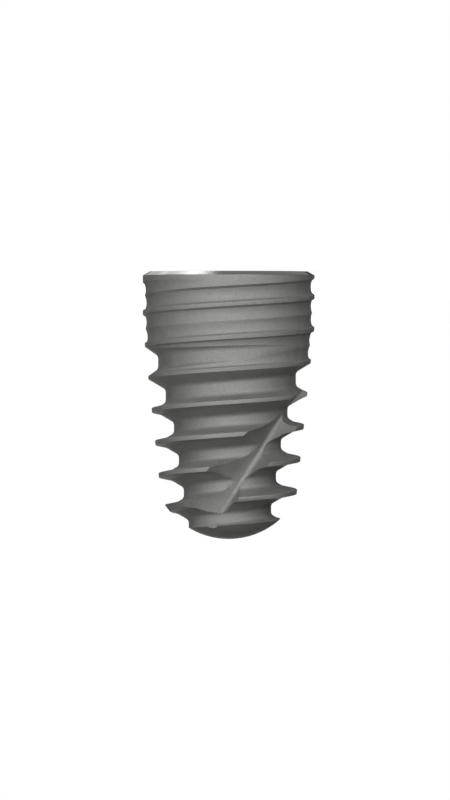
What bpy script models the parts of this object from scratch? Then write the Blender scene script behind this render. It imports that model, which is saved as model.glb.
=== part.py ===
"""Dental implant body: a tapered screw with a finely grooved collar, a deep thread and two flutes.

It is one machined piece. The origin is the centre of the flat platform, +Z runs to the apex,
and the piece stands on its platform. It is made the way it is machined: a turned blank, grooves
cut along one right-handed helix, two flutes milled across the thread, and a socket bored into
the platform.
"""
import math

import bmesh
import bpy

MM = 0.001

# Turned blank: platform, bevel, straight collar, taper and round apex
LENGTH = 8.5 * MM
BODY_DIAMETER = 5.47 * MM
BEVEL_WIDTH = 0.225 * MM
BEVEL_HEIGHT = 0.11 * MM
STRAIGHT_HEIGHT = 1.74 * MM
TAPER_ANGLE = math.radians(6.1)
APEX_RADIUS = 2.44 * MM
APEX_STEPS = 12

# Helix of the thread: a ridge is at height 0 where its angle is HELIX_START
PITCH = 1.033 * MM
HELIX_START = math.radians(-97)
SEGMENTS_A_TURN = 46
SHARP_ANGLE = math.radians(25)

# Shares of a segment by which the blank's edges and each groove's sections are staggered
BLANK_STAGGER = 0.0
FINE_STAGGER = 0.35
DEEP_STAGGER = 0.7

# Fine grooves of the collar: two in each pitch, which meet in a low cusp
RIDGE_FLAT = 0.125 * MM
FINE_DEPTH = 0.12 * MM
FINE_DISH = 0.037 * MM
FINE_FLANK_ANGLE = math.radians(45)
FINE_CUSP_FLAT = 0.012 * MM
FINE_ARC_STEPS = 4

# Turns of the helix over which each fine groove comes in, counted from height 0
FINE_NEAR_START = -0.014
FINE_NEAR_RUN_IN = 0.35
FINE_FAR_START = -0.5
FINE_FAR_RUN_IN = 0.25

# Deep groove: thin fins at the crests, then wider flanks down to the core
CREST_FLAT = 0.135 * MM
FIN_ANGLE = math.radians(11)
FIN_HEIGHT = 0.245 * MM
FIN_GROWTH = 0.065
FLANK_ANGLE = math.radians(30)
THREAD_DEPTH = 0.65 * MM
THREAD_DEPTH_HEIGHT = 4.88 * MM
CORE_TAPER_ANGLE = math.radians(8.6)
ROOT_FILLET = 0.07 * MM
FILLET_SHARE = 0.9

# Its first turns: a run-in, wider flanks, pointed crests, and a core left thicker
DEEP_START = 1.7
DEEP_RUN_IN = 0.55
DEEP_RUN_IN_LIFT = 0.28 * MM
FIRST_FLANK_ANGLE = math.radians(35)
FLANK_CHANGE = (0.55, 1.25)
FIRST_CREST_FLAT = 0.09 * MM
CREST_CHANGE = (1.55, 2.55)
FIRST_CORE_LIFT = 0.19 * MM
CORE_CHANGE = (0.8, 2.55)
FINE_OVERLAP = 0.9

# Flutes: helical cuts with a nearly level wall, a round floor and a steep cutting wall
FLUTE_COUNT = 2
FLUTE_LEAD = 15.0 * MM
FLUTE_ANGLE = math.radians(-117.6)
FLUTE_ANGLE_HEIGHT = 6.21 * MM
FLUTE_BELOW_CORE = 0.05 * MM
FLUTE_END_BELOW_CORE = -0.02 * MM
FLUTE_END_CHANGE = (7.2 * MM, 7.8 * MM)
FLUTE_FLOOR_ROUND = 0.2 * MM
FLUTE_LEVEL_TILT = math.radians(10)
FLUTE_WALL_TILT = math.radians(82)
FLUTE_FIRST_WALL_TILT = math.radians(72)
FLUTE_WALL_CHANGE = (3.6 * MM, 5.9 * MM)
FLUTE_RUN_OUT_HEIGHT = 5.15 * MM
FLUTE_RUN_OUT_RADIUS = 2.17 * MM
FLUTE_STEP = 0.12 * MM
FLUTE_ARC_STEPS = 4
FLUTE_OUTSIDE_STEPS = 3
FLUTE_WALL_SPLIT = 0.35

# Socket in the platform: lead-in cone, hexagon, and the bore for the fixing screw
MOUTH_DIAMETER = 3.5 * MM
MOUTH_CONE_ANGLE = math.radians(45)
HEXAGON_FLATS = 2.5 * MM
HEXAGON_DEPTH = 2.0 * MM
BORE_DIAMETER = 1.65 * MM
BORE_CHAMFER = 0.2 * MM
BORE_DEPTH = 5.7 * MM
DRILL_POINT_ANGLE = math.radians(59)
BORE_SEGMENTS = 36

# How far a cutter reaches past the body, and how far a groove's lips stand clear of it
REACH = 0.6 * MM
LIP = 0.03 * MM

# Points of a turned piece that lie closer than this on the axis are joined
JOIN_DISTANCE = 0.00001 * MM


def change(value, span, first, last):
    """Goes evenly from first to last as value crosses the span, and is level outside it."""
    share = (value - span[0]) / (span[1] - span[0])
    return first + (last - first) * min(1.0, max(0.0, share))


def wall_radius(height):
    """Radius of the straight collar and of the taper after it, before the apex is rounded."""
    return BODY_DIAMETER / 2 - max(0.0, height - STRAIGHT_HEIGHT) * math.tan(TAPER_ANGLE)


def core_radius(height):
    """Radius of the core under the finished thread."""
    core = wall_radius(THREAD_DEPTH_HEIGHT) - THREAD_DEPTH
    return core - (height - THREAD_DEPTH_HEIGHT) * math.tan(CORE_TAPER_ANGLE)


def polar(radius, angle, height):
    """Point at a radius and an angle about Z."""
    return radius * math.cos(angle), radius * math.sin(angle), height


def mesh_object(name, bm):
    """Object made from bm, with its faces outwards and its round surfaces shaded smooth."""
    bmesh.ops.recalc_face_normals(bm, faces=bm.faces)
    mesh = bpy.data.meshes.new(name)
    bm.to_mesh(mesh)
    bm.free()
    mesh.shade_smooth()
    mesh.set_sharp_from_angle(angle=SHARP_ANGLE)
    piece = bpy.data.objects.new(name, mesh)
    bpy.context.scene.collection.objects.link(piece)
    return piece


def turned(name, outline, segments, first_angle=0.0):
    """Solid turned about Z from (radius, height) points that start and end on the axis."""
    bm = bmesh.new()
    points = [bm.verts.new(polar(radius, first_angle, height)) for radius, height in outline]
    edges = [bm.edges.new(pair) for pair in zip(points, points[1:])]
    bmesh.ops.spin(
        bm, geom=points + edges, cent=(0, 0, 0), axis=(0, 0, 1), angle=math.tau, steps=segments
    )
    bmesh.ops.remove_doubles(bm, verts=bm.verts, dist=JOIN_DISTANCE)
    return mesh_object(name, bm)


def lofted(name, sections):
    """Solid through closed sections with the same number of points, capped at both ends."""
    bm = bmesh.new()
    rings = [[bm.verts.new(point) for point in section] for section in sections]
    for ring, following in zip(rings, rings[1:]):
        for i, point in enumerate(ring):
            bm.faces.new((ring[i - 1], point, following[i], following[i - 1]))
    bm.faces.new(rings[0])
    bm.faces.new(rings[-1])
    bmesh.ops.triangulate(bm, faces=bm.faces)
    return mesh_object(name, bm)


def grooved(name, outline_at, first_turn, last_turn, stagger):
    """Cutter swept along the thread's helix, from one turn to another.

    At each step the ridge stands at turn * PITCH, and outline_at(turn) gives the groove as
    (radius, distance past the ridge) points, from the lip near that ridge to the other lip.
    """
    outside = BODY_DIAMETER / 2 + REACH
    sections = []
    first_step = math.floor(first_turn * SEGMENTS_A_TURN)
    last_step = math.ceil(last_turn * SEGMENTS_A_TURN)
    for step in range(first_step, last_step + 1):
        turn = (step + stagger) / SEGMENTS_A_TURN
        outline = outline_at(turn)
        outline = [(outside, outline[0][1]), *outline, (outside, outline[-1][1])]
        angle = HELIX_START + math.tau * turn
        sections.append([polar(radius, angle, turn * PITCH + past) for radius, past in outline])
    return lofted(name, sections)


def fine_side(lift, other_lift):
    """Fine groove next to a ridge: a steep flank, then a dished floor up to the cusp.

    The points are (depth below the wall, distance past the ridge), with the tool lifted. Where
    the other groove is lifted more, a flank rises from the cusp on the other groove's side, and
    where it is lifted less, the floor ends short, at the foot of that groove's flank.
    """
    slope = math.tan(FINE_FLANK_ANGLE)
    flank_depth = FINE_DEPTH - FINE_DISH
    foot = RIDGE_FLAT / 2 + flank_depth * slope
    cusp = (PITCH - FINE_CUSP_FLAT) / 2
    end = cusp - max(0.0, lift - other_lift) * slope
    middle = (foot + cusp) / 2
    points = [(-LIP - lift, foot - (flank_depth + LIP) * slope)]
    for step in range(FINE_ARC_STEPS + 1):
        past = foot + (end - foot) * step / FINE_ARC_STEPS
        dish = FINE_DISH * ((past - middle) / (cusp - middle)) ** 2
        points.append((FINE_DEPTH - dish - lift, past))
    return points


def fine_outline(turn):
    """The two fine grooves between a ridge and the next one, each with its own run-in."""
    near_run_in = (FINE_NEAR_START, FINE_NEAR_START + FINE_NEAR_RUN_IN)
    far_run_in = (FINE_FAR_START, FINE_FAR_START + FINE_FAR_RUN_IN)
    near_lift = change(turn, near_run_in, FINE_DEPTH + LIP, 0.0)
    far_lift = change(turn, far_run_in, FINE_DEPTH + LIP, 0.0)
    points = fine_side(near_lift, far_lift)
    points += [(depth, PITCH - past) for depth, past in reversed(fine_side(far_lift, near_lift))]
    return [(wall_radius(turn * PITCH + past) - depth, past) for depth, past in points]


def crest_flat(turn):
    """Width of the deep thread's crest, by the turn of its ridge."""
    return change(turn - DEEP_START, CREST_CHANGE, FIRST_CREST_FLAT, CREST_FLAT)


def fin_height(turn):
    """How far the thin fin reaches in from the crest: none on the first ridges, then growing."""
    grown = (turn - DEEP_START - CREST_CHANGE[1]) * PITCH * FIN_GROWTH
    return change(turn - DEEP_START, CREST_CHANGE, 0.0, FIN_HEIGHT) + max(0.0, grown)


def deep_side(ridge_turn, groove_turn, sense):
    """One side of the deep groove, from its lip to its root fillet.

    The points are (radius, distance from the ridge), and sense is 1 on the ridge's apex side
    and -1 on its platform side.
    """
    since = groove_turn - DEEP_START
    flank = math.tan(change(since, FLANK_CHANGE, FIRST_FLANK_ANGLE, FLANK_ANGLE))
    fin = fin_height(ridge_turn)
    fin_slope = math.tan(FIN_ANGLE) if fin > 0 else flank
    crest = wall_radius(ridge_turn * PITCH)
    knee = crest - fin
    knee_past = crest_flat(ridge_turn) / 2 + fin * fin_slope
    # The foot lies where the flank meets the core, or beside the middle of a narrow groove.
    root = core_radius(ridge_turn * PITCH + sense * PITCH / 2)
    root += change(since, CORE_CHANGE, FIRST_CORE_LIFT, 0.0)
    foot_past = min(knee_past + (knee - root) * flank, PITCH / 2 - LIP)
    foot = knee - (foot_past - knee_past) / flank
    fillet = min(ROOT_FILLET, (PITCH / 2 - foot_past) * FILLET_SHARE)
    drop = fillet / math.hypot(1.0, flank)
    return [
        (crest + LIP, crest_flat(ridge_turn) / 2 - LIP * fin_slope),
        (knee, knee_past),
        (foot + drop, foot_past - drop * flank),
        (foot, foot_past + fillet),
    ]


def deep_outline(turn):
    """Deep groove between a ridge and the next one.

    Over the run-in the tool is lifted, and it sinks ever faster to its depth.
    """
    share = change(turn, (DEEP_START, DEEP_START + DEEP_RUN_IN), 0.0, 1.0)
    lift = DEEP_RUN_IN_LIFT * (1 - share**2)
    near = deep_side(turn, turn, 1)
    far = [(radius, PITCH - past) for radius, past in reversed(deep_side(turn + 1, turn, -1))]
    return [(radius + lift, past) for radius, past in near + far]


def flute_floor(height):
    """Radius of the flute's deepest line: just under the core, and off it at both ends."""
    up = max(0.0, FLUTE_RUN_OUT_HEIGHT - height)
    below = change(height, FLUTE_END_CHANGE, FLUTE_BELOW_CORE, FLUTE_END_BELOW_CORE)
    return core_radius(height) - below + up**2 / (2 * FLUTE_RUN_OUT_RADIUS)


def flute_section(height, turned_by):
    """Flute across the axis: two straight walls joined by a round floor.

    The floor's arc turns from the level wall to the steep one. Each wall is a tangent of the arc,
    so it meets the outside circle where its distance from the axis says.
    """
    angle = FLUTE_ANGLE + turned_by + math.tau * (height - FLUTE_ANGLE_HEIGHT) / FLUTE_LEAD
    centre = flute_floor(height) + FLUTE_FLOOR_ROUND
    outside = BODY_DIAMETER / 2 + REACH
    steep = change(height, FLUTE_WALL_CHANGE, FLUTE_FIRST_WALL_TILT, FLUTE_WALL_TILT)
    level_reach = math.acos((centre * math.cos(FLUTE_LEVEL_TILT) - FLUTE_FLOOR_ROUND) / outside)
    steep_reach = math.acos((centre * math.cos(steep) - FLUTE_FLOOR_ROUND) / outside)
    first = level_reach - FLUTE_LEVEL_TILT
    last = steep - steep_reach
    x, y, _ = polar(centre, angle, height)
    points = []
    for step in range(FLUTE_ARC_STEPS + 1):
        facing = -FLUTE_LEVEL_TILT + (steep + FLUTE_LEVEL_TILT) * step / FLUTE_ARC_STEPS
        back_x, back_y, _ = polar(FLUTE_FLOOR_ROUND, angle + facing, height)
        points.append((x - back_x, y - back_y, height))
    for step in range(FLUTE_OUTSIDE_STEPS + 1):
        across = last + (first - last) * step / FLUTE_OUTSIDE_STEPS
        points.append(polar(outside, angle + across, height))
    # One more point splits the level wall, so that its twisted facets stay close to the true form.
    floor_end, wall_end = points[0], points[-1]
    points.append(tuple(a + (b - a) * FLUTE_WALL_SPLIT for a, b in zip(floor_end, wall_end)))
    return points


def flute(name, turned_by):
    """Cutter of one flute, from where its floor leaves the wall to past the apex."""
    height = FLUTE_RUN_OUT_HEIGHT
    while flute_floor(height) < wall_radius(height) + LIP:
        height -= FLUTE_STEP
    sections = []
    while height < LENGTH + REACH:
        sections.append(flute_section(height, turned_by))
        height += FLUTE_STEP
    return lofted(name, sections)


def blank():
    """Turned blank with the flat platform, its bevel, the collar, the taper and the apex arc."""
    centre = LENGTH - APEX_RADIUS
    # The taper meets the arc where both are as far from the arc's centre along the taper's normal.
    reach = wall_radius(centre) * math.cos(TAPER_ANGLE) / APEX_RADIUS
    first = TAPER_ANGLE + math.acos(min(1.0, reach))
    taper_end = centre + APEX_RADIUS * math.sin(first)
    outline = [
        (0.0, 0.0),
        (BODY_DIAMETER / 2 - BEVEL_WIDTH, 0.0),
        (BODY_DIAMETER / 2, BEVEL_HEIGHT),
        (BODY_DIAMETER / 2, STRAIGHT_HEIGHT),
        (wall_radius(taper_end), taper_end),
    ]
    for step in range(APEX_STEPS):
        angle = first + (math.pi / 2 - first) * step / APEX_STEPS
        outline.append((APEX_RADIUS * math.cos(angle), centre + APEX_RADIUS * math.sin(angle)))
    outline.append((0.0, LENGTH))
    first_angle = HELIX_START + math.tau * BLANK_STAGGER / SEGMENTS_A_TURN
    return turned("implant_body", outline, SEGMENTS_A_TURN, first_angle)


def socket_cutters():
    """Lead-in cone, hexagon, and the bore with its chamfer and its drill point."""
    cone = math.tan(MOUTH_CONE_ANGLE)
    # Half a segment keeps the round cutters' edges off the hexagon's corners.
    first_angle = math.pi / BORE_SEGMENTS
    mouth = turned("mouth_cutter", [
        (0.0, -REACH),
        (MOUTH_DIAMETER / 2 + REACH * cone, -REACH),
        (0.0, MOUTH_DIAMETER / 2 / cone),
    ], BORE_SEGMENTS, first_angle)
    corner = HEXAGON_FLATS / 2 / math.cos(math.pi / 6)
    sides = [math.tau * side / 6 for side in range(6)]
    hexagon = lofted("hexagon_cutter", [
        [polar(corner, angle, height) for angle in sides] for height in (-REACH, HEXAGON_DEPTH)
    ])
    radius = BORE_DIAMETER / 2
    bore = turned("bore_cutter", [
        (0.0, HEXAGON_DEPTH - LIP),
        (radius + BORE_CHAMFER + LIP, HEXAGON_DEPTH - LIP),
        (radius, HEXAGON_DEPTH + BORE_CHAMFER),
        (radius, BORE_DEPTH),
        (0.0, BORE_DEPTH + radius / math.tan(DRILL_POINT_ANGLE)),
    ], BORE_SEGMENTS, first_angle)
    return [mouth, hexagon, bore]


def titanium():
    """Blasted and etched titanium: a mid grey, dull metal."""
    material = bpy.data.materials.new("blasted_titanium")
    material.use_nodes = True
    shader = material.node_tree.nodes["Principled BSDF"]
    shader.inputs["Base Color"].default_value = (0.3, 0.3, 0.295, 1.0)
    shader.inputs["Roughness"].default_value = 0.7
    shader.inputs["Metallic"].default_value = 1.0
    return material


def main():
    for old in list(bpy.context.scene.objects):
        bpy.data.objects.remove(old, do_unlink=True)
    body = blank()
    body.data.materials.append(titanium())
    fine_start = min(FINE_NEAR_START, FINE_FAR_START)
    fine_end = DEEP_START + FINE_OVERLAP
    cutters = [
        grooved("fine_cutter", fine_outline, fine_start, fine_end, FINE_STAGGER),
        grooved("deep_cutter", deep_outline, DEEP_START, LENGTH / PITCH, DEEP_STAGGER),
    ]
    for count in range(FLUTE_COUNT):
        cutters.append(flute(f"flute_cutter_{count + 1}", math.tau * count / FLUTE_COUNT))
    cutters += socket_cutters()
    for cutter in cutters:
        cutter.hide_render = True
        cutter.display_type = "WIRE"
        cut = body.modifiers.new(cutter.name, "BOOLEAN")
        cut.operation = "DIFFERENCE"
        cut.solver = "EXACT"
        cut.object = cutter


main()
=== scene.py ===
"""Looks of the dental implant: its fine surface, its two metal finishes, the lamps and the camera.

The body is shaped the way it is machined. A turned blank is cut by grooves that follow one
right-handed helix, by two flutes, and by the tools that make the socket. Shapes are worked out
in millimetres, in the frame of the CAD part, and become metres at the end.
"""
import math

import bmesh
import bpy
import numpy as np
from mathutils import Matrix, Vector


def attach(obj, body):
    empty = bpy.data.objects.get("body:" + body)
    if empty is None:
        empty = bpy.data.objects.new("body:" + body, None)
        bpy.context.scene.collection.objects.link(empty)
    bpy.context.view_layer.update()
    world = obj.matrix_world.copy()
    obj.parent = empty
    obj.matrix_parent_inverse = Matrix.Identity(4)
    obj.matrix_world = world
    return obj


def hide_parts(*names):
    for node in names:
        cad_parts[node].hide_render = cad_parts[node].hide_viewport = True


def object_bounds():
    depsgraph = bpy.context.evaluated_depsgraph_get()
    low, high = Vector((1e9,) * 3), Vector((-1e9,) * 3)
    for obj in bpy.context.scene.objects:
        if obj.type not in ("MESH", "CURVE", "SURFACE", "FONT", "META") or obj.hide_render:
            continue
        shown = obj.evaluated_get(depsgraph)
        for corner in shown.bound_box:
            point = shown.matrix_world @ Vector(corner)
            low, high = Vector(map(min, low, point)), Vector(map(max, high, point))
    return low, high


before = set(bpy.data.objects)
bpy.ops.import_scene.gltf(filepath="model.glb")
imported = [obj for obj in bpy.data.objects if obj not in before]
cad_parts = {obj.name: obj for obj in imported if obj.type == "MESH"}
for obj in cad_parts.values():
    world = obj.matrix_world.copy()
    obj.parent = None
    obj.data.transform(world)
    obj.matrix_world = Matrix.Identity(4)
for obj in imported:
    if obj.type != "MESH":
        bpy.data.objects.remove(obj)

CAD_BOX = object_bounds()
MM = 0.001

# The body's length and width come from the CAD part, in millimetres
LENGTH = CAD_BOX[1].z / MM
BODY_RADIUS = (CAD_BOX[1].x - CAD_BOX[0].x) / 2 / MM

# Turned blank: platform, bevel, straight collar, taper and round apex
BEVEL_WIDTH = 0.225
BEVEL_HEIGHT = 0.12
BEVEL_SUPPORTS = ((0.1,), (0.9,))
EDGE_ROUND = 0.009
EDGE_STEPS = 4
STRAIGHT_HEIGHT = 1.74
TAPER_SLOPE = math.tan(math.radians(6.1))
APEX_RADIUS = 2.44
APEX_STEPS = 28

# Helix of the thread: a ridge is at height 0 where its angle is HELIX_START
PITCH = 1.033
HELIX_START = math.radians(-97)
STATIONS_A_TURN = 120
BLANK_STAGGER = 0.0
FINE_STAGGER = 0.35
DEEP_STAGGER = 0.7

# Fine grooves of the collar: two in each pitch, which meet in a low cusp
RIDGE_FLAT = 0.125
FINE_DEPTH = 0.12
FINE_DISH = 0.037
FINE_FLANK_SLOPE = math.tan(math.radians(32))
FINE_CUSP_FLAT = 0.012
FINE_RIDGE_ROUND = 0.01
FINE_FOOT_ROUND = 0.014
FINE_FOOT_STEPS = 3
FINE_FLOOR_STEPS = 9
FINE_NEAR_RUN_IN = (-0.014, 0.336)
FINE_FAR_RUN_IN = (-0.5, -0.25)
FINE_END = 2.6

# Deep groove: thin fins at the crests, then wider flanks down to the core
CREST_FLAT = 0.135
CREST_ROUND = 0.026
FIN_SLOPE = math.tan(math.radians(11))
FIN_HEIGHT = 0.245
FIN_GROWTH = 0.065
FIRST_FIN_HEIGHT = 0.03
KNEE_ROUND = 0.07
FLANK_SLOPE = math.tan(math.radians(30))
THREAD_DEPTH = 0.65
THREAD_DEPTH_HEIGHT = 4.88
CORE_SLOPE = math.tan(math.radians(8.6))
ROOT_ROUND = 0.11
ROOT_STEPS = 8

# Its first turns: a run-in, wider flanks, pointed crests, and a core left thicker
DEEP_START = 1.7
DEEP_RUN_IN = 0.55
DEEP_LIFT = 0.28
FIRST_FLANK_SLOPE = math.tan(math.radians(35))
FLANK_CHANGE = (0.55, 1.25)
FIRST_CREST_FLAT = 0.09
CREST_CHANGE = (1.55, 2.55)
FIRST_CORE_LIFT = 0.19
CORE_CHANGE = (0.8, 2.55)

# Flutes: helical cuts with a nearly level wall, a round floor and a steep cutting wall
FLUTE_COUNT = 2
FLUTE_LEAD = 15.0
FLUTE_ANGLE = math.radians(-114.2)
FLUTE_ANGLE_HEIGHT = 6.21
FLUTE_BELOW_CORE = 0.05
FLUTE_END_BELOW_CORE = -0.02
FLUTE_END_CHANGE = (7.2, 7.8)
FLUTE_FLOOR_ROUND = 0.2
FLUTE_LEVEL_TILT = math.radians(10)
FLUTE_WALL_TILT = math.radians(82)
FLUTE_FIRST_WALL_TILT = math.radians(62)
FLUTE_WALL_CHANGE = (4.8, 6.1)
FLUTE_RUN_OUT_HEIGHT = 5.15
FLUTE_RUN_OUT_RADIUS = 2.17
FLUTE_STEP = 0.06
FLUTE_FLOOR_STEPS = 12
FLUTE_WALL_STEPS = 8

# Socket in the platform: lead-in cone, hexagon, and the tapped bore for the fixing screw
MOUTH_RADIUS = 1.75
MOUTH_TOOL_TIP = 0.3
HEXAGON_FLATS = 2.5
HEXAGON_CORNER_ROUND = 0.12
HEXAGON_CORNER_STEPS = 6
HEXAGON_DEPTH = 2.0
BORE_RADIUS = 0.825
BORE_CHAMFER = 0.2
BORE_DEPTH = 5.7
DRILL_POINT_SLOPE = math.tan(math.radians(59))
TAP_PITCH = 0.4
TAP_DEPTH = 0.16
TAP_OUTLINE = (-0.42, -0.06, 0.06, 0.42)
TAP_END = 5.0
SOCKET_SEGMENTS = 72

# How far a cutter reaches past the body, and how far its lips stand clear of it
REACH = 0.6
LIP = 0.03
SHARP_ANGLE = math.radians(28)

# A rounding reaches at most this share along a side. On an edge, the lip stands a share of the
# rounding above the crest, and the rounding starts a share of it from the corner.
SIDE_SHARE = 0.48
LIP_SHARE = 0.2
EDGE_SHARE = 0.9

# Finish: widths and depths of the craters, the etch, the blotches and the turning rings
CRATER_GRAIN = 0.045
CRATER_DEPTH = 0.0068
ETCH_GRAIN = 0.02
ETCH_DEPTH = 0.002
BLOTCH_GRAIN = 0.3
CRATER_SHARE = 0.7
BLOTCH_SHARE = 0.3
RING_GRAIN = 0.03
RING_DEPTH = 0.00015
BLASTED_COLOURS = ((0.262, 0.262, 0.254), (0.338, 0.338, 0.328))
BLASTED_ROUGHNESS = (0.72, 0.79)
BLASTED_TINT = (0.4, 0.4, 0.4, 1.0)
MACHINED_COLOURS = ((0.52, 0.52, 0.51), (0.6, 0.6, 0.59))
MACHINED_ROUGHNESS = (0.12, 0.2)

# Lamps: azimuth and elevation in degrees, width and height in millimetres, and brightness.
# The bevel mirrors a narrow part of the studio, which the last four lamps fill.
LAMP_DISTANCE = 100.0
LAMPS = {
    "key_lamp": (25, 0, 40, 40, 10.0),
    "low_key_lamp": (18, -25, 44, 40, 5.2),
    "front_lamp": (-25, -2, 40, 40, 4.8),
    "low_front_lamp": (-25, -25, 40, 40, 5.9),
    "low_side_lamp": (-50, -25, 40, 40, 3.7),
    "far_side_lamp": (75, -25, 40, 50, 2.0),
    "upper_side_lamp": (75, 42, 40, 50, 1.6),
    "low_table_lamp": (-50, -75, 40, 40, 1.4),
    "far_table_lamp": (60, -65, 50, 50, 1.3),
    "back_lamp": (180, 16, 32, 48, 8.0),
    "top_lamp": (0, 80, 40, 40, 0.8),
    "bevel_lamp": (165.6, -43, 14, 48, 1.08),
    "bevel_low_lamp": (166.1, -49.5, 13, 18, 0.65),
    "bevel_side_lamp": (168.5, -20, 14, 34, 0.6),
    "bevel_fill_lamp": (184, -42, 50, 90, 0.22),
}

# Studio, in millimetres: the light table, the backdrop behind the object, and how much they glow
TABLE_REACH = 500
TABLE_DROP = 0.002
TABLE_GLOW = 0.75
BACKDROP_DISTANCE = 300
BACKDROP_REACH = 20
BACKDROP_HEIGHT = 60
BACKDROP_GLOW = 1.0
WORLD_ON_METAL = 0.02
CORNERS = ((-1, -1), (1, -1), (1, 1), (-1, 1))

# Camera: the photo's frame, its scale, and the point of the part at its centre
PHOTO_HEIGHT = 800
PIXELS_A_MM = 31.47
PHOTO_CENTRE = (0.1176, 4.083)
LENS = 600.0
SENSOR = 36.0
CAMERA_RANGE = (0.01, 10.0)


def change(value, span, first, last):
    """Goes evenly from first to last as value crosses the span, and is level outside it."""
    return first + (last - first) * np.clip((value - span[0]) / (span[1] - span[0]), 0.0, 1.0)


def wall_radius(height):
    """Radius of the straight collar and of the taper after it, before the apex is rounded."""
    return BODY_RADIUS - np.maximum(0.0, height - STRAIGHT_HEIGHT) * TAPER_SLOPE


def core_radius(height):
    """Radius of the core under the finished thread."""
    core = wall_radius(THREAD_DEPTH_HEIGHT) - THREAD_DEPTH
    return core - (height - THREAD_DEPTH_HEIGHT) * CORE_SLOPE


def polar(radius, angle, height):
    """Points at a radius and an angle about Z."""
    radius, angle, height = np.broadcast_arrays(radius, angle, height)
    return np.stack([radius * np.cos(angle), radius * np.sin(angle), height], axis=-1)


def pairs(radius, past):
    """Outline points (radius, distance along Z) from two arrays or numbers."""
    return np.stack(np.broadcast_arrays(radius, past), axis=-1)


def bend(before, corner, after, reach, steps):
    """Rounds a corner by a parabola that starts and ends at reach from it.

    Each point is an array (..., 2), and the reach never passes the middle of a short side. The
    parabola's points are (1-t)^2 start + 2t(1-t) corner + t^2 end.
    """
    back, ahead = before - corner, after - corner
    back_length = np.linalg.norm(back, axis=-1, keepdims=True)
    ahead_length = np.linalg.norm(ahead, axis=-1, keepdims=True)
    reach = np.minimum(reach, SIDE_SHARE * np.minimum(back_length, ahead_length))
    start = corner + back / back_length * reach
    end = corner + ahead / ahead_length * reach
    t = np.linspace(0.0, 1.0, steps + 1)[:, None]
    start, middle, end = (point[..., None, :] for point in (start, corner, end))
    return (1 - t) ** 2 * start + 2 * t * (1 - t) * middle + t**2 * end


def closed_mesh(name, points, faces, finish):
    """Object made from whole arrays of points and faces, with its faces outwards."""
    mesh = bpy.data.meshes.new(name)
    mesh.from_pydata(points, [], faces)
    bm = bmesh.new()
    bm.from_mesh(mesh)
    bmesh.ops.recalc_face_normals(bm, faces=bm.faces)
    bm.to_mesh(mesh)
    bm.free()
    mesh.materials.append(finish)
    piece = bpy.data.objects.new(name, mesh)
    bpy.context.scene.collection.objects.link(piece)
    return piece


def skinned(name, rings, finish):
    """Solid over rings of points (rings, points, 3), with a flat cap at each end.

    A quad joins each two neighbours of a ring to the same two of the next ring.
    """
    count, width = rings.shape[:2]
    index = np.arange(count * width).reshape(count, width)
    beside = np.roll(index, -1, axis=1)
    sides = np.stack([index[:-1], beside[:-1], beside[1:], index[1:]], axis=-1)
    faces = sides.reshape(-1, 4).tolist() + [index[0].tolist(), index[-1].tolist()]
    return closed_mesh(name, rings.reshape(-1, 3), faces, finish)


def turned(name, outline, segments, first_angle, finish):
    """Solid turned about Z from (radius, height) points, the first and last of them on the axis.

    Each other point makes a ring, and a fan of triangles joins the end rings to the axis.
    """
    outline = np.array(outline)
    angles = first_angle + math.tau * np.arange(segments) / segments
    rings = polar(outline[1:-1, :1], angles, outline[1:-1, 1:])
    count = len(rings)
    index = np.arange(count * segments).reshape(count, segments)
    beside = np.roll(index, -1, axis=1)
    sides = np.stack([index[:-1], beside[:-1], beside[1:], index[1:]], axis=-1)
    poles = np.array([[0.0, 0.0, outline[0, 1]], [0.0, 0.0, outline[-1, 1]]])
    fans = [
        np.stack([index[row], beside[row], np.full(segments, count * segments + pole)], axis=-1)
        for pole, row in ((0, 0), (1, -1))
    ]
    faces = sides.reshape(-1, 4).tolist() + np.concatenate(fans).tolist()
    return closed_mesh(name, np.concatenate([rings.reshape(-1, 3), poles]), faces, finish)


def swept(name, outline_at, span, stagger, finish):
    """Groove cutter carried along the thread's helix over a span of turns.

    At each station the ridge stands at turn * PITCH. outline_at gives the groove's outline there
    as (radius, distance past the ridge) points, from one lip to the other.
    """
    first = math.floor(span[0] * STATIONS_A_TURN)
    last = math.ceil(span[1] * STATIONS_A_TURN)
    turns = (np.arange(first, last + 1) + stagger) / STATIONS_A_TURN
    outline = outline_at(turns)
    angles = HELIX_START + math.tau * turns[:, None]
    heights = turns[:, None] * PITCH + outline[..., 1]
    return skinned(name, polar(outline[..., 0], angles, heights), finish)


def lip_and_edge(crest, edge_past, rounding, after):
    """Lip outside the body and the rounded edge where a ridge's crest turns into its flank.

    The cutter comes in just above the crest, so that the crest runs evenly into the rounding.
    """
    outside = pairs(BODY_RADIUS + REACH, edge_past - rounding)
    above = pairs(crest + rounding * LIP_SHARE, edge_past - rounding)
    edge = bend(above, pairs(crest, edge_past), after, rounding * EDGE_SHARE, EDGE_STEPS)
    return np.concatenate([outside[:, None], above[:, None], edge], axis=1)


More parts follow.
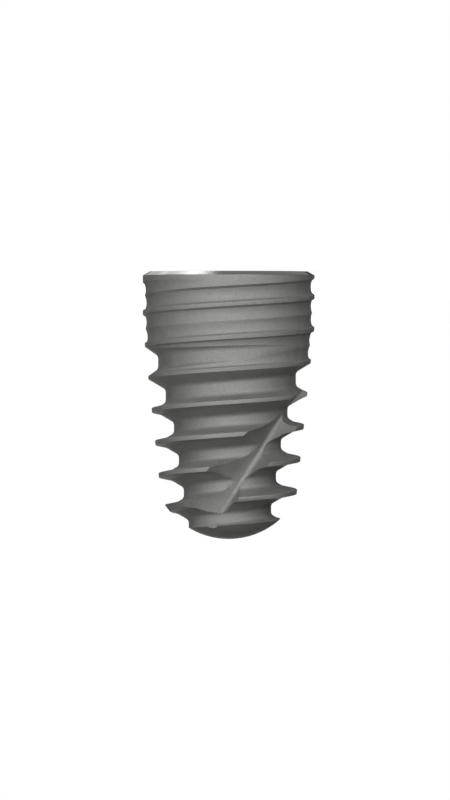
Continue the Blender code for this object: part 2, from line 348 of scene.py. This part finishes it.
def fine_side(turns, sense, lift, other_lift):
    """Fine groove beside a ridge: a steep flank, then a dished floor up to the cusp.

    The floor is a parabola, FINE_DISH deep. Where this groove's tool is lifted more than the
    other's, the floor ends short, at the foot of the other groove's flank.
    """
    flank_depth = FINE_DEPTH - FINE_DISH
    foot = RIDGE_FLAT / 2 + flank_depth * FINE_FLANK_SLOPE
    cusp = (PITCH - FINE_CUSP_FLAT) / 2
    middle = (foot + cusp) / 2
    end = cusp - np.maximum(0.0, lift - other_lift) * FINE_FLANK_SLOPE
    past = foot + (end - foot)[:, None] * np.linspace(0.0, 1.0, FINE_FLOOR_STEPS + 1)
    depth = FINE_DEPTH - FINE_DISH * ((past - middle) / (cusp - middle)) ** 2
    ridge_turn = turns if sense > 0 else turns + 1
    wall = wall_radius(ridge_turn[:, None] * PITCH + sense * past) + lift[:, None]
    floor = pairs(wall - depth, past)
    crest = wall_radius(ridge_turn * PITCH) + lift
    edge_past = np.full(len(turns), RIDGE_FLAT / 2)
    lip = lip_and_edge(crest, edge_past, FINE_RIDGE_ROUND, floor[:, 0])
    root = bend(lip[:, -1], floor[:, 0], floor[:, 1], FINE_FOOT_ROUND, FINE_FOOT_STEPS)
    return np.concatenate([lip, root, floor[:, 1:]], axis=1)


def fine_outline(turns):
    """The two fine grooves between a ridge and the next one, each with its own run-in."""
    near_lift = change(turns, FINE_NEAR_RUN_IN, FINE_DEPTH + LIP, 0.0)
    far_lift = change(turns, FINE_FAR_RUN_IN, FINE_DEPTH + LIP, 0.0)
    near = fine_side(turns, 1, near_lift, far_lift)
    far = fine_side(turns, -1, far_lift, near_lift)[:, ::-1]
    far = pairs(far[..., 0], PITCH - far[..., 1])
    return np.concatenate([near, far], axis=1)


def deep_side(turns, sense):
    """One side of the deep groove: crest edge, fin, knee, flank and rounded root."""
    ridge_turn = turns if sense > 0 else turns + 1
    since, ridge_since = turns - DEEP_START, ridge_turn - DEEP_START
    flank = change(since, FLANK_CHANGE, FIRST_FLANK_SLOPE, FLANK_SLOPE)
    flat = change(ridge_since, CREST_CHANGE, FIRST_CREST_FLAT, CREST_FLAT)
    fin = change(ridge_since, CREST_CHANGE, FIRST_FIN_HEIGHT, FIN_HEIGHT)
    fin = fin + np.maximum(0.0, ridge_since - CREST_CHANGE[1]) * PITCH * FIN_GROWTH
    fin_slope = change(ridge_since, CREST_CHANGE, flank, FIN_SLOPE)
    crest = wall_radius(ridge_turn * PITCH)
    knee, knee_past = crest - fin, flat / 2 + fin * fin_slope
    root = core_radius(ridge_turn * PITCH + sense * PITCH / 2)
    root = root + change(since, CORE_CHANGE, FIRST_CORE_LIFT, 0.0)
    foot_past = np.minimum(knee_past + (knee - root) * flank, PITCH / 2 - LIP)
    foot = knee - (foot_past - knee_past) / flank
    knee_point, foot_point = pairs(knee, knee_past), pairs(foot, foot_past)
    middle = pairs(foot, np.full(len(turns), PITCH / 2))
    lip = lip_and_edge(crest, flat / 2, CREST_ROUND, knee_point)
    knee_bend = bend(pairs(crest, flat / 2), knee_point, foot_point, KNEE_ROUND, EDGE_STEPS)
    other_foot = middle + (middle - foot_point)
    root_bend = bend(knee_point, foot_point, other_foot, ROOT_ROUND, ROOT_STEPS)
    return np.concatenate([lip, knee_bend, root_bend], axis=1)


def deep_outline(turns):
    """Deep groove between a ridge and the next one, with the tool lifted over its run-in.

    The tool sinks ever faster: lift = DEEP_LIFT * (1 - (turns since the start / run-in)^2).
    """
    lift = DEEP_LIFT * (1 - np.clip((turns - DEEP_START) / DEEP_RUN_IN, 0.0, 1.0) ** 2)[:, None]
    near = deep_side(turns, 1)
    far = deep_side(turns, -1)[:, ::-1]
    far = pairs(far[..., 0], PITCH - far[..., 1])
    both = np.concatenate([near, far], axis=1)
    return pairs(both[..., 0] + lift, both[..., 1])


def flute_floor(height):
    """Radius of the flute's deepest line: just under the core, and off it at both ends.

    Towards the collar the line leaves the core along an arc, up^2 / (2 * run-out radius).
    """
    up = np.maximum(0.0, FLUTE_RUN_OUT_HEIGHT - height)
    below = change(height, FLUTE_END_CHANGE, FLUTE_BELOW_CORE, FLUTE_END_BELOW_CORE)
    return core_radius(height) - below + up**2 / (2 * FLUTE_RUN_OUT_RADIUS)


def flute(name, turned_by, finish):
    """Cutter of one flute: sections across Z with two walls joined by a round floor.

    The floor's arc turns from the level wall to the steep one, and each wall is a tangent of the
    arc out to a circle outside the body. The sections turn with height, one turn in FLUTE_LEAD.
    """
    heights = np.arange(0.0, LENGTH + REACH, FLUTE_STEP)
    heights = heights[flute_floor(heights) < wall_radius(heights) + LIP][:, None]
    angle = FLUTE_ANGLE + turned_by + math.tau * (heights - FLUTE_ANGLE_HEIGHT) / FLUTE_LEAD
    centre = flute_floor(heights) + FLUTE_FLOOR_ROUND
    outside = BODY_RADIUS + REACH
    steep = change(heights, FLUTE_WALL_CHANGE, FLUTE_FIRST_WALL_TILT, FLUTE_WALL_TILT)
    level_reach = np.arccos((centre * math.cos(FLUTE_LEVEL_TILT) - FLUTE_FLOOR_ROUND) / outside)
    steep_reach = np.arccos((centre * np.cos(steep) - FLUTE_FLOOR_ROUND) / outside)
    along_floor = np.linspace(0, 1, FLUTE_FLOOR_STEPS + 1)
    facing = -FLUTE_LEVEL_TILT + (steep + FLUTE_LEVEL_TILT) * along_floor
    floor = polar(centre, angle, heights) - polar(FLUTE_FLOOR_ROUND, angle + facing, 0.0)
    open_side = np.linspace(0, 1, FLUTE_WALL_STEPS + 1)
    last, first = steep - steep_reach, level_reach - FLUTE_LEVEL_TILT
    arch = polar(outside, angle + last + (first - last) * open_side, heights)
    share = np.linspace(0, 1, FLUTE_WALL_STEPS + 1)[1:-1, None]
    steep_wall = floor[:, -1:] + (arch[:, :1] - floor[:, -1:]) * share
    level_wall = arch[:, -1:] + (floor[:, :1] - arch[:, -1:]) * share
    rings = np.concatenate([floor, steep_wall, arch, level_wall], axis=1)
    return skinned(name, rings, finish)


def blank(finish, bright):
    """Turned blank: flat platform, bevel with broken edges, collar, taper and the apex arc.

    Two rings on the bevel, at BEVEL_SUPPORTS along it, keep its smooth shading straight.
    """
    centre = LENGTH - APEX_RADIUS
    taper = math.atan(TAPER_SLOPE)
    first = taper + math.acos(min(1.0, wall_radius(centre) * math.cos(taper) / APEX_RADIUS))
    taper_end = centre + APEX_RADIUS * math.sin(first)
    inner = np.array([BODY_RADIUS - BEVEL_WIDTH, 0.0])
    outer = np.array([BODY_RADIUS, BEVEL_HEIGHT])
    platform = np.array([MOUTH_RADIUS, 0.0])
    collar_end = np.array([BODY_RADIUS, STRAIGHT_HEIGHT])
    apex = np.linspace(first, math.pi / 2, APEX_STEPS, endpoint=False)
    outline = np.concatenate([
        [[0.0, 0.0], platform],
        bend(platform, inner, outer, EDGE_ROUND, EDGE_STEPS),
        inner + (outer - inner) * np.array(BEVEL_SUPPORTS),
        bend(inner, outer, collar_end, EDGE_ROUND, EDGE_STEPS),
        [collar_end],
        np.stack([APEX_RADIUS * np.cos(apex), centre + APEX_RADIUS * np.sin(apex)], axis=-1),
        [[0.0, LENGTH]],
    ])
    first_angle = HELIX_START + math.tau * BLANK_STAGGER / STATIONS_A_TURN
    body = turned("implant_surface", outline, STATIONS_A_TURN, first_angle, finish)
    body.data.materials.append(bright)
    centres = np.empty(len(body.data.polygons) * 3)
    body.data.polygons.foreach_get("center", centres)
    on_bevel = centres.reshape(-1, 3)[:, 2] < BEVEL_HEIGHT
    body.data.polygons.foreach_set("material_index", on_bevel.astype(np.int32))
    return body


def socket_tools(bright):
    """Lead-in cone, hexagon with rounded corners, drilled bore and the tap's thread."""
    turn_by = math.pi / SOCKET_SEGMENTS
    mouth = turned("mouth_tool", [
        (0.0, -REACH),
        (MOUTH_RADIUS + REACH, -REACH),
        (MOUTH_TOOL_TIP, MOUTH_RADIUS - MOUTH_TOOL_TIP),
        (0.0, MOUTH_RADIUS - MOUTH_TOOL_TIP),
    ], SOCKET_SEGMENTS, turn_by, bright)
    corner = HEXAGON_FLATS / 2 / math.cos(math.pi / 6)
    corners = polar(corner, math.tau * np.arange(6) / 6, 0.0)[:, :2]
    before, after = np.roll(corners, 1, axis=0), np.roll(corners, -1, axis=0)
    outline = bend(before, corners, after, HEXAGON_CORNER_ROUND, HEXAGON_CORNER_STEPS)
    outline = outline.reshape(-1, 2)
    ends = (-REACH, HEXAGON_DEPTH)
    rings = np.stack([np.insert(outline, 2, height, axis=1) for height in ends])
    hexagon = skinned("hexagon_tool", rings, bright)
    bore = turned("bore_tool", [
        (0.0, HEXAGON_DEPTH - LIP),
        (BORE_RADIUS + BORE_CHAMFER + LIP, HEXAGON_DEPTH - LIP),
        (BORE_RADIUS, HEXAGON_DEPTH + BORE_CHAMFER),
        (BORE_RADIUS, BORE_DEPTH),
        (0.0, BORE_DEPTH + BORE_RADIUS / DRILL_POINT_SLOPE),
    ], SOCKET_SEGMENTS, turn_by, bright)
    count = int((TAP_END - HEXAGON_DEPTH) / TAP_PITCH * SOCKET_SEGMENTS)
    turns = np.arange(count)[:, None] / SOCKET_SEGMENTS
    radius = BORE_RADIUS + np.array([-LIP, TAP_DEPTH, TAP_DEPTH, -LIP])
    heights = HEXAGON_DEPTH + turns * TAP_PITCH + np.array(TAP_OUTLINE) * TAP_PITCH
    tap = skinned("tap_tool", polar(radius, math.tau * turns, heights), bright)
    return [mouth, hexagon, bore, tap]


def implant(matt, bright):
    """The implant body: every tool cut out of the blank, as one closed surface in metres."""
    body = blank(matt, bright)
    tools = [
        swept("fine_tool", fine_outline, (FINE_FAR_RUN_IN[0], FINE_END), FINE_STAGGER, matt),
        swept("deep_tool", deep_outline, (DEEP_START, LENGTH / PITCH), DEEP_STAGGER, matt),
    ]
    for count in range(FLUTE_COUNT):
        tools.append(flute(f"flute_tool_{count + 1}", math.tau * count / FLUTE_COUNT, matt))
    tools += socket_tools(bright)
    for tool in tools:
        cut = body.modifiers.new(tool.name, "BOOLEAN")
        cut.operation = "DIFFERENCE"
        cut.solver = "MANIFOLD"
        cut.material_mode = "TRANSFER"
        cut.object = tool
    finished = body.evaluated_get(bpy.context.evaluated_depsgraph_get())
    mesh = bpy.data.meshes.new_from_object(finished)
    body.modifiers.clear()
    body.data = mesh
    mesh.name = body.name
    for tool in tools:
        bpy.data.objects.remove(tool, do_unlink=True)
    mesh.transform(Matrix.Scale(MM, 4))
    mesh.shade_smooth()
    mesh.set_sharp_from_angle(angle=SHARP_ANGLE)
    return body


def metal(name, colour, roughness):
    """Bare metal: its material, its node tree and its shader."""
    material = bpy.data.materials.new(name)
    material.use_nodes = True
    tree = material.node_tree
    shader = tree.nodes["Principled BSDF"]
    shader.inputs["Base Color"].default_value = (*colour, 1.0)
    shader.inputs["Metallic"].default_value = 1.0
    shader.inputs["Roughness"].default_value = roughness
    return material, tree, shader


def noise(tree, vector, grain, detail, name):
    """Noise between 0 and 1 whose features are about grain millimetres wide."""
    node = tree.nodes.new("ShaderNodeTexNoise")
    node.name = node.label = name
    node.inputs["Scale"].default_value = 1 / (grain * MM)
    node.inputs["Detail"].default_value = detail
    tree.links.new(vector, node.inputs["Vector"])
    return node.outputs["Fac"]


def between(tree, share, low, high, spread=(0.3, 0.7)):
    """Value that goes from low to high as share crosses the spread."""
    node = tree.nodes.new("ShaderNodeMapRange")
    for socket, value in zip(("From Min", "From Max", "To Min", "To Max"), (*spread, low, high)):
        node.inputs[socket].default_value = value
    tree.links.new(share, node.inputs["Value"])
    return node.outputs["Result"]


def tinted(tree, share, dark, light):
    """Colour that goes from dark to light with share."""
    node = tree.nodes.new("ShaderNodeMix")
    node.data_type = "RGBA"
    node.inputs["A"].default_value = (*dark, 1.0)
    node.inputs["B"].default_value = (*light, 1.0)
    tree.links.new(share, node.inputs["Factor"])
    return node.outputs["Result"]


def bumped(tree, height, depth, before=None):
    """Normal of a relief that is depth millimetres high, added to the relief before it."""
    node = tree.nodes.new("ShaderNodeBump")
    node.inputs["Distance"].default_value = depth * MM
    tree.links.new(height, node.inputs["Height"])
    if before is not None:
        tree.links.new(before, node.inputs["Normal"])
    return node.outputs["Normal"]


def blasted_titanium():
    """Grit-blasted and etched titanium: dull grey, with craters, a fine etch and faint blotches.

    The specular tint dims it at a grazing angle, where the craters shade one another.
    """
    material, tree, shader = metal("blasted_titanium", (0.3, 0.3, 0.295), 0.75)
    shader.inputs["Specular Tint"].default_value = BLASTED_TINT
    place = tree.nodes.new("ShaderNodeTexCoord").outputs["Object"]
    craters = noise(tree, place, CRATER_GRAIN, 2.0, "craters")
    etch = noise(tree, place, ETCH_GRAIN, 1.0, "etch")
    blotches = noise(tree, place, BLOTCH_GRAIN, 3.0, "blotches")
    relief = bumped(tree, craters, CRATER_DEPTH)
    relief = bumped(tree, etch, ETCH_DEPTH, relief)
    tree.links.new(relief, shader.inputs["Normal"])
    tree.links.new(between(tree, blotches, *BLASTED_ROUGHNESS), shader.inputs["Roughness"])
    shade = tree.nodes.new("ShaderNodeMath")
    shade.operation = "ADD"
    tree.links.new(between(tree, craters, 0.0, CRATER_SHARE), shade.inputs[0])
    tree.links.new(between(tree, blotches, 0.0, BLOTCH_SHARE), shade.inputs[1])
    colour = tinted(tree, shade.outputs[0], *BLASTED_COLOURS)
    tree.links.new(colour, shader.inputs["Base Color"])
    return material


def machined_titanium():
    """Turned titanium: brighter, with fine rings about the axis left by the tool."""
    material, tree, shader = metal("machined_titanium", (0.56, 0.56, 0.55), 0.16)
    place = tree.nodes.new("ShaderNodeTexCoord").outputs["Object"]
    flat = tree.nodes.new("ShaderNodeVectorMath")
    flat.operation = "MULTIPLY"
    flat.inputs[1].default_value = (1.0, 1.0, 0.0)
    tree.links.new(place, flat.inputs[0])
    out = tree.nodes.new("ShaderNodeVectorMath")
    out.operation = "LENGTH"
    tree.links.new(flat.outputs["Vector"], out.inputs[0])
    rings = tree.nodes.new("ShaderNodeTexNoise")
    rings.noise_dimensions = "1D"
    rings.inputs["Scale"].default_value = 1 / (RING_GRAIN * MM)
    rings.inputs["Detail"].default_value = 2.0
    tree.links.new(out.outputs["Value"], rings.inputs["W"])
    tree.links.new(bumped(tree, rings.outputs["Fac"], RING_DEPTH), shader.inputs["Normal"])
    smears = noise(tree, place, BLOTCH_GRAIN, 2.0, "smears")
    tree.links.new(between(tree, smears, *MACHINED_ROUGHNESS), shader.inputs["Roughness"])
    colour = tinted(tree, rings.outputs["Fac"], *MACHINED_COLOURS)
    tree.links.new(colour, shader.inputs["Base Color"])
    return material


def lamp(name, azimuth, elevation, width, height, brightness):
    """Soft lamp 100 mm from the body's middle, which it faces, with a face of even brightness.

    Its azimuth is counted from the viewer's side towards +X, and its elevation from the level.
    """
    light = bpy.data.lights.new(name, "AREA")
    light.shape = "RECTANGLE"
    light.size, light.size_y = width * MM, height * MM
    light.energy = brightness * math.pi * light.size * light.size_y
    azimuth, elevation = math.radians(azimuth), math.radians(elevation)
    way = Vector((
        math.sin(azimuth) * math.cos(elevation),
        -math.cos(azimuth) * math.cos(elevation),
        math.sin(elevation),
    ))
    holder = bpy.data.objects.new(name, light)
    holder.location = (Vector(MIDDLE) + way * LAMP_DISTANCE) * MM
    holder.rotation_euler = (-way).to_track_quat("-Z", "Y").to_euler()
    holder.visible_camera = False
    bpy.context.scene.collection.objects.link(holder)


def card(name, corners, finish):
    """Flat four-cornered sheet of the studio, which is not part of the object."""
    mesh = bpy.data.meshes.new(name)
    mesh.from_pydata([Vector(corner) * MM for corner in corners], [], [(0, 1, 2, 3)])
    mesh.materials.append(finish)
    sheet = bpy.data.objects.new(name, mesh)
    bpy.context.scene.collection.objects.link(sheet)
    return sheet


def seen_rays(tree, kinds):
    """One where the ray is of one of the kinds, and otherwise zero."""
    path = tree.nodes.new("ShaderNodeLightPath")
    value = path.outputs[kinds[0]]
    for kind in kinds[1:]:
        node = tree.nodes.new("ShaderNodeMath")
        node.operation = "MAXIMUM"
        tree.links.new(value, node.inputs[0])
        tree.links.new(path.outputs[kind], node.inputs[1])
        value = node.outputs[0]
    return value


def white_paper(name, kinds, glow):
    """White paper: its glow for the given kinds of ray and its own shade add up to white."""
    material = bpy.data.materials.new(name)
    material.use_nodes = True
    tree = material.node_tree
    shader = tree.nodes["Principled BSDF"]
    shader.inputs["Base Color"].default_value = (1 - glow, 1 - glow, 1 - glow, 1.0)
    shader.inputs["Roughness"].default_value = 1.0
    shader.inputs["Specular IOR Level"].default_value = 0.0
    shader.inputs["Emission Color"].default_value = (1.0, 1.0, 1.0, 1.0)
    strength = tree.nodes.new("ShaderNodeMath")
    strength.operation = "MULTIPLY"
    strength.inputs[1].default_value = glow
    tree.links.new(seen_rays(tree, kinds), strength.inputs[0])
    tree.links.new(strength.outputs[0], shader.inputs["Emission Strength"])
    return material


MIDDLE = (0.0, 0.0, LENGTH / 2)
matt = blasted_titanium()
bright = machined_titanium()
body = implant(matt, bright)
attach(body, "root")
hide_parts("implant_body")

# Camera: level, on the -Y side, and rolled by half a turn, because the photo has the platform up
camera_data = bpy.data.cameras.new("camera")
camera_data.lens = LENS
camera_data.sensor_width = SENSOR
distance = LENS * PHOTO_HEIGHT / PIXELS_A_MM / SENSOR
camera_data.clip_start, camera_data.clip_end = CAMERA_RANGE
camera = bpy.data.objects.new("camera", camera_data)
camera.matrix_world = Matrix((
    (-1.0, 0.0, 0.0, PHOTO_CENTRE[0] * MM),
    (0.0, 0.0, -1.0, -distance * MM),
    (0.0, -1.0, 0.0, PHOTO_CENTRE[1] * MM),
    (0.0, 0.0, 0.0, 1.0),
))
bpy.context.scene.collection.objects.link(camera)
bpy.context.scene.camera = camera

# World: white to the camera and to the floor, and dim for the metal
world = bpy.data.worlds.new("studio")
bpy.context.scene.world = world
world.use_nodes = True
tree = world.node_tree
dim = tree.nodes["Background"]
dim.inputs["Color"].default_value = (1.0, 1.0, 1.0, 1.0)
dim.inputs["Strength"].default_value = WORLD_ON_METAL
white = tree.nodes.new("ShaderNodeBackground")
white.inputs["Color"].default_value = (1.0, 1.0, 1.0, 1.0)
mix = tree.nodes.new("ShaderNodeMixShader")
white_rays = seen_rays(tree, ("Is Camera Ray", "Is Transmission Ray", "Is Diffuse Ray"))
tree.links.new(white_rays, mix.inputs[0])
tree.links.new(dim.outputs[0], mix.inputs[1])
tree.links.new(white.outputs[0], mix.inputs[2])
tree.links.new(mix.outputs[0], tree.nodes["World Output"].inputs["Surface"])
world.cycles.sampling_method = "NONE"

# Light table: the lamps under it shine through it onto the object
table = card(
    "light_table",
    [(TABLE_REACH * x, TABLE_REACH * y, -TABLE_DROP) for x, y in CORNERS],
    white_paper("white_table", ("Is Camera Ray", "Is Transmission Ray"), TABLE_GLOW),
)
table.visible_shadow = False
table.visible_glossy = False

# Backdrop: white to the metal too, which a wider white surround would light like a lamp
backdrop = card(
    "backdrop",
    [
        (BACKDROP_REACH * x, BACKDROP_DISTANCE, BACKDROP_HEIGHT * (1 + z) / 2)
        for x, z in CORNERS
    ],
    white_paper(
        "white_backdrop", ("Is Camera Ray", "Is Glossy Ray", "Is Transmission Ray"), BACKDROP_GLOW
    ),
)
backdrop.visible_diffuse = False

for lamp_name, setting in LAMPS.items():
    lamp(lamp_name, *setting)

bpy.context.scene.view_settings.view_transform = "Standard"
